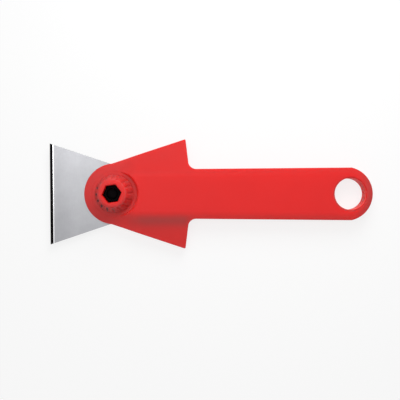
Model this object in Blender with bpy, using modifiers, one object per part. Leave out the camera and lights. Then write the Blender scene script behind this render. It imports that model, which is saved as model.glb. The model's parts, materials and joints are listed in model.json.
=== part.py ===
"""Scraper knife whose blade swings between the two moulded halves of its handle.

Metres, +Z up. The knife lies on its back on z = 0, with the cutting edge towards -X, the hang hole
towards +X and the knob on top. The origin is on that surface, under the middle of the whole length.
Every piece is modelled in lengths from the pivot, and its object stands at the pivot or on its own axis.
"""

import math

import bmesh
import bpy
import numpy as np
from mathutils import Matrix, Vector

# Clearance that touching pieces keep
GAP = 0.0003

# Whole length and the handle's outline, as lengths ahead of and behind the pivot
PIVOT_TO_EDGE = 0.0323
PIVOT_TO_END = 0.1264
HANDLE_THICKNESS = 0.0100
PARTING_Z = 0.0040
HEAD_RADIUS = 0.0150
WING_HALF_WIDTH_AT_PIVOT = 0.0154
WING_SLOPE = 0.336
BARB_TIP_X = 0.0348
BARB_TIP_RADIUS = 0.0005
BARB_LEAN = 0.120
NECK_FILLET = 0.0041
GRIP_HALF_WIDTH_NECK = 0.01215
GRIP_HALF_WIDTH_TAIL = 0.01286
END_RADIUS = 0.0132
EDGE_BREAK = 0.0004

# Raised spine: a flat top, a rounded shoulder, and a hollow that eases out into the thin wing.
# The back has the same form in lower relief.
SHOULDER_RUN = 0.0044
SHOULDER_ANGLE = math.radians(19.5)
HOLLOW_RUN = 0.0078
WING_ANGLE = math.radians(9)
BACK_RELIEF = 0.4

# Round end of the head: the front falls away to a low skirt, the back keeps a flat pad to lie on
SPINE_FADE = 0.0085
FRONT_ROUND_END = {"spine": 0.0070, "shoulder": 0.0027, "angle": math.radians(34), "hollow": 0.0040}
BACK_ROUND_END = {"spine": 0.0129, "shoulder": 0.0012, "angle": math.radians(30), "hollow": 0.0024}

# Hang hole, grip cells and the screws that hold the halves together
HANG_HOLE_X = 0.1155
HANG_HOLE_RADIUS = 0.00775
HANG_HOLE_RIM = 0.0005
CELLS_ALONG = 3
CELLS_FROM_X = 0.0535
CELLS_TO_X = 0.0915
RIB_THICKNESS = 0.0014
WALL_THICKNESS = 0.0022
CELL_CORNER = 0.0012
SCREW_X = {"grip_screw_front": 0.0485, "grip_screw_rear": 0.0970}
SCREW_RADIUS = 0.0013
SCREW_TIP_RADIUS = 0.0008
SCREW_HEAD_RADIUS = 0.0028
SCREW_HEAD_HEIGHT = 0.0015
SCREW_END_Z = 0.0076

# Blade
EDGE_HALF_LENGTH = 0.0251
BLADE_SLOPE = 0.338
BLADE_THICKNESS = 0.0010
GRIND_WIDTH = 0.0013
EDGE_LAND = 0.0001

# Pivot: bolt, bush, washer, nut and knob
BOLT_RADIUS = 0.0025
BOLT_END_Z = 0.0142
BOLT_HEAD_RADIUS = 0.0060
BOLT_HEAD_HEIGHT = 0.0009
SQUARE_NECK = 0.0050
SQUARE_NECK_HEIGHT = 0.0011
BUSH_RADIUS = 0.0040
BUSH_LENGTH = 0.0022
WASHER_RADIUS = 0.0060
WASHER_THICKNESS = 0.0010
KNOB_POCKET_FLOOR_RADIUS = 0.0110
KNOB_POCKET_TOP_RADIUS = 0.0120
KNOB_SEAT_Z = 0.0076
KNOB_BASE_RADIUS = 0.0093
KNOB_TOP_RADIUS = 0.0064
KNOB_TOP_Z = 0.0175
KNOB_RIM_HEIGHT = 0.0010
KNOB_SHOULDER = 0.0005
KNOB_WEB = 0.0016
FLUTE_COUNT = 16
FLUTE_RADIUS = 0.0008
FLUTE_DEPTH = 0.0004
FLUTE_TURN = math.radians(2.4)
NUT_ACROSS_FLATS = 0.0077
NUT_THICKNESS = 0.0038
NUT_CHAMFER = 0.0005
POCKET_ACROSS_FLATS = 0.0082
HEX_TURN = math.radians(8)

# Steps along the handle's edge and rows across its faces
EDGE_STEPS = {"head": 14, "wing": 11, "tip": 3, "rear": 3, "neck": 6, "grip": 5, "end": 12}
WING_CROWDING = 1.4
SHOULDER_ROWS = 4
WING_ROWS = 6
FIRST_WING_ROW = 0.15

# Worked out from the driving dimensions
PIVOT = Vector(((PIVOT_TO_EDGE - PIVOT_TO_END) / 2, 0, 0))
BORE_RADIUS = BOLT_RADIUS + GAP
SLOT_RADIUS = math.hypot(PIVOT_TO_EDGE, EDGE_HALF_LENGTH) + 2 * GAP
KNOB_BASE_Z = KNOB_SEAT_Z + GAP
WASHER_SEAT_Z = KNOB_BASE_Z + WASHER_THICKNESS + GAP
POCKET_FLOOR_Z = WASHER_SEAT_Z + KNOB_WEB
BOLT_RECESS_Z = BOLT_HEAD_HEIGHT + 2 * GAP
SCREW_RECESS_Z = SCREW_HEAD_HEIGHT + 2 * GAP
OVERRUN = 0.001


def clear_scene():
    for old in list(bpy.data.objects):
        bpy.data.objects.remove(old, do_unlink=True)


def collection_named(name):
    made = bpy.data.collections.new(name)
    bpy.context.scene.collection.children.link(made)
    return made


clear_scene()
PARTS = collection_named("scraper_knife")
CUTTERS = collection_named("cutters")


def placed(name, mesh, at=PIVOT):
    """A part at its place."""
    made = bpy.data.objects.new(name, mesh)
    made.location = at
    PARTS.objects.link(made)
    return made


def as_cutter(part):
    """The same object kept only for Booleans."""
    PARTS.objects.unlink(part)
    CUTTERS.objects.link(part)
    part.hide_render = True
    part.display_type = "WIRE"
    return part


def boolean(part, other, operation="DIFFERENCE"):
    step = part.modifiers.new(other.name, "BOOLEAN")
    step.operation = operation
    step.solver = "EXACT"
    step.object = other


def finish(part, colour, roughness, metallic=0.0):
    """Gives a part its own Principled material and smooth shading up to its sharp edges."""
    material = bpy.data.materials.new(part.name + "_finish")
    material.use_nodes = True
    shader = material.node_tree.nodes["Principled BSDF"]
    shader.inputs["Base Color"].default_value = (*colour, 1)
    shader.inputs["Roughness"].default_value = roughness
    shader.inputs["Metallic"].default_value = metallic
    part.data.materials.append(material)
    part.data.shade_smooth()
    part.data.set_sharp_from_angle(angle=math.radians(30))


def mesh_from(name, build):
    """A mesh filled by build(bm)."""
    bm = bmesh.new()
    build(bm)
    mesh = bpy.data.meshes.new(name)
    bm.to_mesh(mesh)
    bm.free()
    return mesh


def turned(name, profile, steps=48, closed=False, at=PIVOT):
    """A profile of (radius, z) spun about Z. It runs down the outer side, and a closed one makes a ring."""
    count = len(profile)
    links = [(i, i + 1) for i in range(count - 1)]
    if closed:
        links.append((count - 1, 0))
    mesh = bpy.data.meshes.new(name)
    mesh.from_pydata([(radius, 0, z) for radius, z in profile], links, [])
    made = placed(name, mesh, at)
    spin = made.modifiers.new("turn", "SCREW")
    spin.axis = "Z"
    spin.steps = steps
    spin.render_steps = steps
    spin.use_merge_vertices = True
    spin.merge_threshold = 1e-6
    return made


def plate(name, outline, bottom, top, at=PIVOT):
    """A flat outline of (x, y) points with a thickness, as a welded mesh."""
    curve = bpy.data.curves.new(name + "_outline", "CURVE")
    curve.dimensions = "2D"
    curve.fill_mode = "BOTH"
    curve.extrude = (top - bottom) / 2
    spline = curve.splines.new("POLY")
    spline.points.add(len(outline) - 1)
    for point, (x, y) in zip(spline.points, outline):
        point.co = (x, y, 0, 1)
    spline.use_cyclic_u = True
    guide = bpy.data.objects.new(name + "_outline", curve)
    PARTS.objects.link(guide)
    bpy.context.view_layer.update()
    mesh = bpy.data.meshes.new_from_object(guide.evaluated_get(bpy.context.evaluated_depsgraph_get()))
    bpy.data.objects.remove(guide, do_unlink=True)
    mesh.transform(Matrix.Translation((0, 0, (top + bottom) / 2)))
    bm = bmesh.new()
    bm.from_mesh(mesh)
    bmesh.ops.remove_doubles(bm, verts=bm.verts, dist=1e-6)
    bmesh.ops.recalc_face_normals(bm, faces=bm.faces)
    bm.to_mesh(mesh)
    bm.free()
    mesh.name = name
    return placed(name, mesh, at)


def block(name, size, centre, turn=None):
    """A box, turned about its own centre where turn is given."""
    matrix = Matrix.Translation(centre) @ (turn or Matrix()) @ Matrix.Diagonal((*size, 1))
    return placed(name, mesh_from(name, lambda bm: bmesh.ops.create_cube(bm, size=1, matrix=matrix)))


def arc(centre, radius, start, stop, steps):
    """Points on a circle from one angle to another, both ends included."""
    angles = np.linspace(start, stop, steps + 1)
    return np.column_stack((centre[0] + radius * np.cos(angles), centre[1] + radius * np.sin(angles)))


def rounded_corner(before, corner, after, radius, steps):
    """The arc that rounds a corner between two straight runs."""
    before, corner, after = (np.array(p) for p in (before, corner, after))
    into = (before - corner) / np.linalg.norm(before - corner)
    out = (after - corner) / np.linalg.norm(after - corner)
    half_angle = math.acos(np.clip(into @ out, -1, 1)) / 2
    middle = (into + out) / np.linalg.norm(into + out)
    centre = corner + middle * radius / math.sin(half_angle)
    first = corner + into * radius / math.tan(half_angle) - centre
    last = corner + out * radius / math.tan(half_angle) - centre
    start = math.atan2(first[1], first[0])
    swing = math.remainder(math.atan2(last[1], last[0]) - start, 2 * math.pi)
    return arc(centre, radius, start, start + swing, steps)


def regular_hexagon(across_flats):
    return arc((0, 0), across_flats / math.sqrt(3), HEX_TURN, HEX_TURN + math.tau, 6)[:-1]


def grip_half_width(x):
    """The grip widens evenly from the neck to the tail."""
    tail_x = PIVOT_TO_END - END_RADIUS
    share = (x - BARB_TIP_X) / (tail_x - BARB_TIP_X)
    return GRIP_HALF_WIDTH_NECK + share * (GRIP_HALF_WIDTH_TAIL - GRIP_HALF_WIDTH_NECK)


def head_corner_x():
    """Where the head's round end meets the straight edge of the wing."""
    a = 1 + WING_SLOPE**2
    b = 2 * WING_HALF_WIDTH_AT_PIVOT * WING_SLOPE
    c = WING_HALF_WIDTH_AT_PIVOT**2 - HEAD_RADIUS**2
    return (-b + math.sqrt(b**2 - 4 * a * c)) / (2 * a)


def half_outline():
    """The handle's edge on the +Y side, from the head's round end to the tail.

    Gives the edge points, the point of the middle line that each is lofted from, how far the grip's
    spine reaches from that line, and which points are on a round end. Round ends loft from their centres.
    """
    corner_x = head_corner_x()
    tip = (BARB_TIP_X, WING_HALF_WIDTH_AT_PIVOT + WING_SLOPE * BARB_TIP_X)
    root_y = grip_half_width(BARB_TIP_X)
    root = (BARB_TIP_X + BARB_LEAN * (tip[1] - root_y), root_y)
    head_end = (corner_x, WING_HALF_WIDTH_AT_PIVOT + WING_SLOPE * corner_x)
    tail_x = PIVOT_TO_END - END_RADIUS
    tail_corner_x = tail_x + math.sqrt(END_RADIUS**2 - grip_half_width(tail_x) ** 2)
    tail_corner = (tail_corner_x, math.sqrt(END_RADIUS**2 - (tail_corner_x - tail_x) ** 2))

    head = arc((0, 0), HEAD_RADIUS, math.pi, math.atan2(head_end[1], head_end[0]), EDGE_STEPS["head"])
    tip_arc = rounded_corner(head_end, tip, root, BARB_TIP_RADIUS, EDGE_STEPS["tip"])
    wing_share = np.linspace(0, 1, EDGE_STEPS["wing"] + 1)[1:-1, None] ** WING_CROWDING
    wing = head_end + wing_share * (tip_arc[0] - head_end)
    neck_arc = rounded_corner(tip, root, tail_corner, NECK_FILLET, EDGE_STEPS["neck"])
    rear = np.linspace(tip_arc[-1], neck_arc[0], EDGE_STEPS["rear"] + 1)[1:-1]
    grip_x = np.linspace(neck_arc[-1][0], tail_x, EDGE_STEPS["grip"] + 1)[1:]
    grip = np.column_stack((grip_x, grip_half_width(grip_x)))
    end_from = math.atan2(tail_corner[1], tail_corner_x - tail_x)
    end = arc((tail_x, 0), END_RADIUS, end_from, 0, EDGE_STEPS["end"])

    barb = np.concatenate((wing, tip_arc, rear, neck_arc))
    along = np.cumsum(np.linalg.norm(np.diff(np.concatenate((head[-1:], barb)), axis=0), axis=1))
    barb_from = along / along[-1] * neck_arc[-1][0]
    edge = np.concatenate((head, barb, grip, end))
    middle_x = np.concatenate((np.zeros(len(head)), barb_from, grip_x, np.full(len(end), tail_x)))
    spine = grip_half_width(np.maximum(middle_x, BARB_TIP_X))
    spine[-len(end):] = END_RADIUS
    round_end = np.concatenate((np.ones(len(head)), np.zeros(len(barb) + len(grip)), np.ones(len(end))))
    return edge, middle_x, spine, round_end


def section(middle_x, spine, head):
    """The spine's reach, shoulder, hollow and steepest slope, which change to the head's at its round end."""
    t = np.clip(middle_x / SPINE_FADE, 0, 1)
    share = t * t * (3 - 2 * t)
    grip = {"spine": spine, "shoulder": SHOULDER_RUN, "angle": SHOULDER_ANGLE, "hollow": HOLLOW_RUN}
    return [head[key] + share * (grip[key] - head[key]) for key in ("spine", "shoulder", "hollow", "angle")]


def spine_drop(reach, spine, shoulder, hollow, steepest):
    """How far the top lies below the flat of the spine, at a distance from the middle line.

    A convex shoulder ends at the spine's reach, and a hollow of the same slope eases out from there
    into the wing's steady fall.
    """
    shoulder_radius = shoulder / np.sin(steepest)
    hollow_radius = hollow / (np.sin(steepest) - math.sin(WING_ANGLE))
    on_shoulder = np.clip(reach - spine + shoulder, 0, shoulder)
    in_hollow = np.clip(reach - spine, 0, hollow)
    on_wing = np.maximum(reach - spine - hollow, 0)
    slope = np.sin(steepest) - in_hollow / hollow_radius
    return (
        shoulder_radius
        - np.sqrt(shoulder_radius**2 - on_shoulder**2)
        + hollow_radius * (np.sqrt(1 - slope**2) - np.cos(steepest))
        + on_wing * math.tan(WING_ANGLE)
    )


def shell_blank(name, side, head):
    """Half of the handle as a loft from its middle line to its edge, mirrored across that line.

    side is 1 for the front half and -1 for the back half, and head is the section of its round end.
    """
    edge, middle_x, spine, round_end = half_outline()
    spine, shoulder, hollow, steepest = section(middle_x, spine, head)
    to_edge = edge - np.column_stack((middle_x, np.zeros(len(edge))))
    length = np.linalg.norm(to_edge, axis=1)
    edge_reach = np.where(round_end > 0, length, edge[:, 1])
    rim_reach = edge_reach - EDGE_BREAK

    on_shoulder = spine[:, None] - shoulder[:, None] * (1 - np.linspace(0, 1, SHOULDER_ROWS))
    on_wing = spine[:, None] + (rim_reach - spine)[:, None] * np.linspace(FIRST_WING_ROW, 1, WING_ROWS)
    top_reach = np.column_stack((np.zeros(len(edge)), on_shoulder, on_wing))
    top_reach = np.minimum(top_reach, rim_reach[:, None])
    row_section = (values[:, None] for values in (spine, shoulder, hollow, steepest))
    depth = HANDLE_THICKNESS - PARTING_Z if side > 0 else PARTING_Z
    relief = 1 if side > 0 else BACK_RELIEF
    top_height = depth - relief * spine_drop(top_reach, *row_section)

    reach = np.column_stack((top_reach, edge_reach, edge_reach, np.zeros(len(edge))))
    rim_height = top_height[:, -1] - EDGE_BREAK
    parting = np.full(len(edge), GAP / 2)
    height = np.column_stack((top_height, rim_height, parting, parting))
    share = reach / edge_reach[:, None]
    x = middle_x[:, None] + share * to_edge[:, :1]
    y = share * to_edge[:, 1:]
    points = np.stack((x, y, PARTING_Z + side * height), axis=-1)

    rows, columns = reach.shape
    index = np.arange(rows * columns).reshape(rows, columns)
    corners = (index[:-1, :-1], index[1:, :-1], index[1:, 1:], index[:-1, 1:])
    faces = np.stack(corners[::-side], axis=-1).reshape(-1, 4)
    mesh = bpy.data.meshes.new(name)
    mesh.from_pydata(points.reshape(-1, 3).tolist(), [], faces.tolist())
    bm = bmesh.new()
    bm.from_mesh(mesh)
    bmesh.ops.remove_doubles(bm, verts=bm.verts, dist=1e-6)
    bm.to_mesh(mesh)
    bm.free()
    made = placed(name, mesh)
    mirror = made.modifiers.new("mirror", "MIRROR")
    mirror.use_axis = (False, True, False)
    mirror.use_clip = True
    mirror.merge_threshold = 1e-5
    return made


def grip_cells():
    """The moulded cells that hollow the grip, on either side of a middle rib and between cross ribs."""
    pitch = (CELLS_TO_X - CELLS_FROM_X + RIB_THICKNESS) / CELLS_ALONG
    width = GRIP_HALF_WIDTH_NECK - WALL_THICKNESS - RIB_THICKNESS / 2
    size = (pitch - RIB_THICKNESS, width, HANDLE_THICKNESS - 2 * WALL_THICKNESS)

    def build(bm):
        for along in range(CELLS_ALONG):
            for side in (-1, 1):
                centre = (
                    CELLS_FROM_X + size[0] / 2 + along * pitch,
                    side * (RIB_THICKNESS + width) / 2,
                    HANDLE_THICKNESS / 2,
                )
                matrix = Matrix.Translation(centre) @ Matrix.Diagonal((*size, 1))
                bmesh.ops.create_cube(bm, size=1, matrix=matrix)
        upright = [e for e in bm.edges if abs(e.verts[0].co.z - e.verts[1].co.z) > size[2] / 2]
        bmesh.ops.bevel(bm, geom=upright, offset=CELL_CORNER, segments=3, profile=0.5, affect="EDGES")

    return as_cutter(placed("grip_cells", mesh_from("grip_cells", build)))


def pivot_bore(name, radius, bottom, top, steps=40):
    return as_cutter(turned(name, [(0, top), (radius, top), (radius, bottom), (0, bottom)], steps))


def shared_cutters():
    """What is cut from both halves alike: the blade's slot, the bush seat, hang hole, cells and screws."""
    slot_half = BLADE_THICKNESS / 2 + GAP
    slot = pivot_bore("blade_slot", SLOT_RADIUS, PARTING_Z - slot_half, PARTING_Z + slot_half, 96)
    bush_half = BUSH_LENGTH / 2 + GAP
    bush_seat = pivot_bore("bush_seat", BUSH_RADIUS + GAP, PARTING_Z - bush_half, PARTING_Z + bush_half)
    wide = HANG_HOLE_RADIUS + HANG_HOLE_RIM + OVERRUN
    hang_hole = turned(
        "hang_hole",
        [
            (0, HANDLE_THICKNESS + OVERRUN),
            (wide, HANDLE_THICKNESS + OVERRUN),
            (HANG_HOLE_RADIUS, HANDLE_THICKNESS - HANG_HOLE_RIM),
            (HANG_HOLE_RADIUS, HANG_HOLE_RIM),
            (wide, -OVERRUN),
            (0, -OVERRUN),
        ],
        steps=48,
        at=PIVOT + Vector((HANG_HOLE_X, 0, 0)),
    )
    cutters = [slot, bush_seat, as_cutter(hang_hole), grip_cells()]
    for name, x in SCREW_X.items():
        hole = turned(
            name + "_hole",
            [
                (0, SCREW_END_Z + GAP),
                (SCREW_RADIUS + GAP, SCREW_END_Z + GAP),
                (SCREW_RADIUS + GAP, SCREW_RECESS_Z),
                (SCREW_HEAD_RADIUS + GAP, SCREW_RECESS_Z),
                (SCREW_HEAD_RADIUS + GAP, -OVERRUN),
                (0, -OVERRUN),
            ],
            steps=24,
            at=PIVOT + Vector((x, 0, 0)),
        )
        cutters.append(as_cutter(hole))
    return cutters


def front_shell(cutters):
    """The front half: its spine ends in a round pocket, where the knob stands over the bolt hole."""
    shell = shell_blank("front_shell", 1, FRONT_ROUND_END)
    for cutter in cutters:
        boolean(shell, cutter)
    flare = (KNOB_POCKET_TOP_RADIUS - KNOB_POCKET_FLOOR_RADIUS) / (HANDLE_THICKNESS - KNOB_SEAT_Z)
    pocket = turned(
        "knob_pocket",
        [
            (0, HANDLE_THICKNESS + OVERRUN),
            (KNOB_POCKET_TOP_RADIUS + flare * OVERRUN, HANDLE_THICKNESS + OVERRUN),
            (KNOB_POCKET_FLOOR_RADIUS, KNOB_SEAT_Z),
            (BORE_RADIUS, KNOB_SEAT_Z),
            (BORE_RADIUS, PARTING_Z),
            (0, PARTING_Z),
        ],
        steps=56,
    )
    boolean(shell, as_cutter(pocket))
    finish(shell, (0.78, 0.036, 0.031), 0.38)


def back_shell(cutters):
    """The back half: the bolt's flat head is sunk in it, and a square hole keeps the bolt from turning."""
    shell = shell_blank("back_shell", -1, BACK_ROUND_END)
    for cutter in cutters:
        boolean(shell, cutter)
    boolean(shell, pivot_bore("bolt_recess", BOLT_HEAD_RADIUS + GAP, -OVERRUN, BOLT_RECESS_Z))
    side = SQUARE_NECK + 2 * GAP
    square = block("bolt_square", (side, side, PARTING_Z), (0, 0, PARTING_Z / 2))
    boolean(shell, as_cutter(square))
    finish(shell, (0.78, 0.036, 0.031), 0.38)


def grip_screws():
    for name, x in SCREW_X.items():
        neck_z = GAP + SCREW_HEAD_HEIGHT
        dome = SCREW_HEAD_HEIGHT / 3
        screw = turned(
            name,
            [
                (0, SCREW_END_Z),
                (SCREW_TIP_RADIUS, SCREW_END_Z),
                (SCREW_RADIUS, SCREW_END_Z - SCREW_RADIUS),
                (SCREW_RADIUS, neck_z),
                (SCREW_HEAD_RADIUS, neck_z),
                (SCREW_HEAD_RADIUS, GAP + dome),
                (SCREW_HEAD_RADIUS - dome, GAP),
                (0, GAP),
            ],
            steps=24,
            at=PIVOT + Vector((x, 0, 0)),
        )
        finish(screw, (0.55, 0.55, 0.56), 0.35, 1)


def blade():
    """A trapezoid with a round tang, drilled for the bush and ground on its front face along the edge."""
    pivot_half_width = EDGE_HALF_LENGTH - PIVOT_TO_EDGE * BLADE_SLOPE
    lean = math.atan(BLADE_SLOPE)
    tang_radius = pivot_half_width * math.cos(lean)
    tang = arc((0, 0), tang_radius, math.pi / 2 - lean, lean - math.pi / 2, 20)
    corners = [(-PIVOT_TO_EDGE, -EDGE_HALF_LENGTH), (-PIVOT_TO_EDGE, EDGE_HALF_LENGTH)]
    low, high = PARTING_Z - BLADE_THICKNESS / 2, PARTING_Z + BLADE_THICKNESS / 2
    made = plate("blade", [*corners, *tang], low, high)
    boolean(made, pivot_bore("blade_hole", BUSH_RADIUS + GAP, 0, HANDLE_THICKNESS))
    grind_angle = math.atan2(BLADE_THICKNESS - EDGE_LAND, GRIND_WIDTH)
    stone = 4 * GRIND_WIDTH
    turn = Matrix.Rotation(-grind_angle, 4, "Y")
    ground_line = Vector((-PIVOT_TO_EDGE + GRIND_WIDTH, 0, high))
    centre = ground_line + turn.to_3x3() @ Vector((-stone / 3, 0, stone / 2))
    boolean(made, as_cutter(block("grindstone", (stone, 3 * EDGE_HALF_LENGTH, stone), centre, turn)))
    finish(made, (0.55, 0.55, 0.57), 0.30, 1)


def clamp_bolt():
    """A bolt with a thin flat head and a square neck under it."""
    head_top = GAP + BOLT_HEAD_HEIGHT
    chamfer = GAP
    bolt = turned(
        "clamp_bolt",
        [
            (0, BOLT_END_Z),
            (BOLT_RADIUS - chamfer, BOLT_END_Z),
            (BOLT_RADIUS, BOLT_END_Z - chamfer),
            (BOLT_RADIUS, head_top),
            (BOLT_HEAD_RADIUS, head_top),
            (BOLT_HEAD_RADIUS, GAP + chamfer),
            (BOLT_HEAD_RADIUS - chamfer, GAP),
            (0, GAP),
        ],
    )
    root = head_top - BOLT_HEAD_HEIGHT / 2
    top = head_top + SQUARE_NECK_HEIGHT
    neck = block("square_neck", (SQUARE_NECK, SQUARE_NECK, top - root), (0, 0, (top + root) / 2))
    boolean(bolt, as_cutter(neck), "UNION")
    finish(bolt, (0.012, 0.012, 0.013), 0.45, 1)


def ring(name, outer, bottom, top):
    profile = [(outer, top), (outer, bottom), (BORE_RADIUS, bottom), (BORE_RADIUS, top)]
    return turned(name, profile, closed=True)


def pivot_bush():
    bush = ring("pivot_bush", BUSH_RADIUS, PARTING_Z - BUSH_LENGTH / 2, PARTING_Z + BUSH_LENGTH / 2)
    finish(bush, (0.60, 0.58, 0.54), 0.30, 1)


def thrust_washer():
    washer = ring("thrust_washer", WASHER_RADIUS, KNOB_BASE_Z, KNOB_BASE_Z + WASHER_THICKNESS)
    finish(washer, (0.60, 0.60, 0.61), 0.32, 1)


def knob_flutes(shoulder, foot):
    """Round-bottomed flutes that run down the knob's cone, from its shoulder to its rim."""
    run = Vector((foot[0] - shoulder[0], 0, foot[1] - shoulder[1]))
    outward = Vector((-run.z, 0, run.x)).normalized()
    middle = Vector(((shoulder[0] + foot[0]) / 2, 0, (shoulder[1] + foot[1]) / 2))
    middle += outward * (FLUTE_RADIUS - FLUTE_DEPTH)
    lean = Vector((0, 0, 1)).rotation_difference(run).to_matrix().to_4x4()

    def build(bm):
        for turn in np.arange(FLUTE_COUNT) * math.tau / FLUTE_COUNT + FLUTE_TURN:
            bmesh.ops.create_cone(
                bm,
                cap_ends=True,
                segments=10,
                radius1=FLUTE_RADIUS,
                radius2=FLUTE_RADIUS,
                depth=run.length + 4 * FLUTE_RADIUS,
                matrix=Matrix.Rotation(turn, 4, "Z") @ Matrix.Translation(middle) @ lean,
            )

    return as_cutter(placed("knob_flutes", mesh_from("knob_flutes", build)))


def clamp_knob():
    """A fluted cone with a hexagon pocket for the nut, and a recess underneath that holds the washer."""
    shoulder = (KNOB_TOP_RADIUS + KNOB_SHOULDER, KNOB_TOP_Z - KNOB_SHOULDER)
    foot = (KNOB_BASE_RADIUS, KNOB_BASE_Z + KNOB_RIM_HEIGHT)
    profile = [
        (KNOB_TOP_RADIUS, KNOB_TOP_Z),
        shoulder,
        foot,
        (KNOB_BASE_RADIUS, KNOB_BASE_Z + GAP),
        (KNOB_BASE_RADIUS - GAP, KNOB_BASE_Z),
        (WASHER_RADIUS + GAP, KNOB_BASE_Z),
        (WASHER_RADIUS + GAP, WASHER_SEAT_Z),
        (BORE_RADIUS, WASHER_SEAT_Z),
        (BORE_RADIUS, KNOB_TOP_Z),
    ]
    knob = turned("clamp_knob", profile, steps=64, closed=True)
    boolean(knob, knob_flutes(shoulder, foot))
    pocket = plate("nut_pocket", regular_hexagon(POCKET_ACROSS_FLATS), POCKET_FLOOR_Z, KNOB_TOP_Z + OVERRUN)
    boolean(knob, as_cutter(pocket))
    finish(knob, (0.78, 0.036, 0.031), 0.38)


def knob_nut():
    """A hexagon nut, chamfered at both faces by the cone that a nut blank is turned to."""
    bottom = POCKET_FLOOR_Z + GAP
    top = bottom + NUT_THICKNESS
    nut = plate("knob_nut", regular_hexagon(NUT_ACROSS_FLATS), bottom, top)
    face_radius = NUT_ACROSS_FLATS / 2
    widest = NUT_ACROSS_FLATS / math.sqrt(3) + GAP
    blank = [
        (0, top + OVERRUN / 10),
        (face_radius, top + OVERRUN / 10),
        (widest, top - NUT_CHAMFER),
        (widest, bottom + NUT_CHAMFER),
        (face_radius, bottom - OVERRUN / 10),
        (0, bottom - OVERRUN / 10),
    ]
    boolean(nut, as_cutter(turned("nut_blank", blank)), "INTERSECT")
    boolean(nut, pivot_bore("nut_bore", BORE_RADIUS, 0, KNOB_TOP_Z))
    finish(nut, (0.012, 0.012, 0.013), 0.45, 1)


shared = shared_cutters()
front_shell(shared)
back_shell(shared)
grip_screws()
blade()
clamp_bolt()
pivot_bush()
thrust_washer()
clamp_knob()
knob_nut()
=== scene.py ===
"""Looks of the scraper knife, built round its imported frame. Metres, +Z up, in the frame's own axes."""

import json
import math

import bmesh
import bpy
import numpy as np
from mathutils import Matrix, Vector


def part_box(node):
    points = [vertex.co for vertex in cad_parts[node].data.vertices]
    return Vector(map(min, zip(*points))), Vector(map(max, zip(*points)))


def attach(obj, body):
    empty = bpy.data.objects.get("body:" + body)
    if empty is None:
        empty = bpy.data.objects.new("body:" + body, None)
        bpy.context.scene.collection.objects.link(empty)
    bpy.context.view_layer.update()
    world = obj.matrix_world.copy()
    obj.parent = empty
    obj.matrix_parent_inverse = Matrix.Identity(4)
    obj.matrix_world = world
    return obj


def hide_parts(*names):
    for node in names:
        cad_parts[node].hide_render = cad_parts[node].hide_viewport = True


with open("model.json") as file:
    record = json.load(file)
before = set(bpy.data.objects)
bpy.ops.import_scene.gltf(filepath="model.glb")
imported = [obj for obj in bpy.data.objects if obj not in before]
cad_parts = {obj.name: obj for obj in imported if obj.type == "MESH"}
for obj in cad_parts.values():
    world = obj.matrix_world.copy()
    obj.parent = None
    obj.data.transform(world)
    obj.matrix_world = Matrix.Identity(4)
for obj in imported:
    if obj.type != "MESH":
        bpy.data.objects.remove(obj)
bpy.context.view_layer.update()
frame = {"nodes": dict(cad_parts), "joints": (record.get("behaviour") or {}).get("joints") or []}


# Back shell: the moulded half that the knife lies on, of red plastic with a fine spark-eroded texture.
# The bolt's head sinks into a recess in its round end, and two screws come up through its grip.
# Lengths along the handle run from the pivot, and heights from the plane where the two halves part.

joint_at = {joint["name"]: joint["pos_m"] for joint in frame["joints"]}
pivot_x, _, parting_z = joint_at["blade_swing"]
handle_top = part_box("front_shell")[1].z
clearance = 0.0003

head_radius = 0.0150
wing_half_width_at_pivot = 0.0154
wing_slope = 0.336
barb_tip_x = 0.0348
barb_tip = np.array((barb_tip_x, wing_half_width_at_pivot + wing_slope * barb_tip_x))
barb_tip_radius = 0.0005
barb_lean = 0.120
neck_fillet = 0.0041
grip_half_width_neck = 0.01215
grip_half_width_tail = 0.01286
end_radius = 0.0132
tail_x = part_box("front_shell")[1].x - pivot_x - end_radius
hang_hole_x = 0.1155
hang_hole_radius = 0.00775
hang_hole_edge = 0.0009
edge_round = 0.00042
parting_chamfer = 0.00012

blade_low, blade_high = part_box("blade")
blade_reach = pivot_x - blade_low.x
slot_radius = math.hypot(blade_reach, blade_high.y) + 2 * clearance
slot_height = (blade_high.z - blade_low.z) / 2 + clearance
parting_height = clearance / 2
screw_x = [sum(corner.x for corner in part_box(node)) / 2 - pivot_x
           for node in ("grip_screw_front", "grip_screw_rear")]
screw_well_radius = 0.0031
screw_hole_radius = 0.0016
bush_seat_radius = 0.0043
bush_seat_height = 0.0014

shoulder_run = 0.0044
shoulder_angle = math.radians(19.5)
hollow_run = 0.0078
wing_angle = math.radians(9)
spine_fade = 0.0116

round_steps = 7
screw_steps = 25
wear_reach = 0.0007
wall_wear_down = (0.3, 0.0, 0.3, 0.6)
wall_light_fade = 0.0002
wall_light_onset = 30
# Painted shade on the hang hole's rounded rim, then painted light down its wall.
hang_hole_shading = (-0.68, -0.70, -0.70, -0.60, 0.4, 1.3, 1.8, 2.0, 2.0)


def arc(centre, radius, angles):
    """Points on a circle at the given angles."""
    return np.asarray(centre) + radius * np.column_stack((np.cos(angles), np.sin(angles)))


def straight(start, stop, count, power=1.0):
    """Evenly spaced points from start to stop, closer together near the start where power is over 1."""
    share = np.linspace(0, 1, count)[:, None] ** power
    return np.asarray(start) + share * (np.asarray(stop) - np.asarray(start))


def rounded_corner(before, corner, after, radius, count):
    """The arc that touches both straight runs beside a corner, its centre on the line that halves it."""
    into = (before - corner) / np.linalg.norm(before - corner)
    out = (after - corner) / np.linalg.norm(after - corner)
    half_angle = math.acos(into @ out) / 2
    centre = corner + (into + out) / np.linalg.norm(into + out) * radius / math.sin(half_angle)
    first = corner + into * radius / math.tan(half_angle) - centre
    last = corner + out * radius / math.tan(half_angle) - centre
    start = math.atan2(first[1], first[0])
    swing = math.remainder(math.atan2(last[1], last[0]) - start, math.tau)
    return arc(centre, radius, np.linspace(start, start + swing, count))


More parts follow.
